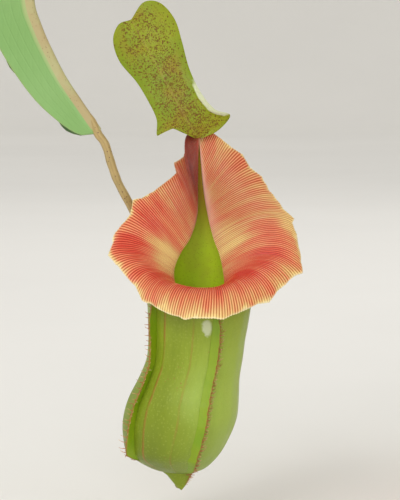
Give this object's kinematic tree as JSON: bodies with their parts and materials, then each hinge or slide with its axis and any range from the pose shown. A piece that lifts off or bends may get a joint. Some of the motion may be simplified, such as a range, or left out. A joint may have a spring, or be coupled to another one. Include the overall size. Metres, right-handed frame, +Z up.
{
  "type": "potted pitcher plant",
  "caption": "Carnivorous pitcher plant with arching leaves and hanging pitchers with ribbed collars and upright lids, in a plain clay pot.",
  "frame": {"origin": "centre of the flat underside of the pot", "axes": "+Z up; the largest pitcher hangs at -X and its mouth faces -Y"},
  "size_m": [0.4263, 0.4534, 0.3339],
  "materials": {
    "clay": "matte",
    "bark_mix": "matte",
    "stem": "satin",
    "leaf": "satin",
    "tendril": "satin",
    "cup": "satin",
    "collar": "gloss",
    "lid": "satin"
  },
  "bodies": {
    "root": {"pot": "clay", "potting_mix": "bark_mix", "stem": "stem", "leaf_1": "leaf", "pitcher_1_tendril": "tendril", "pitcher_1_cup": "cup", "pitcher_1_collar": "collar", "pitcher_1_lid": "lid", "leaf_2": "leaf", "pitcher_2_tendril": "tendril", "pitcher_2_cup": "cup", "pitcher_2_collar": "collar", "pitcher_2_lid": "lid", "leaf_5": "leaf", "pitcher_3_tendril": "tendril", "pitcher_3_cup": "cup", "pitcher_3_collar": "collar", "pitcher_3_lid": "lid", "leaf_3": "leaf", "tendril_3": "tendril", "leaf_4": "leaf", "tendril_4": "tendril", "leaf_6": "leaf", "tendril_6": "tendril", "leaf_7": "leaf", "tendril_7": "tendril", "leaf_8": "leaf"}
  },
  "joints": []
}
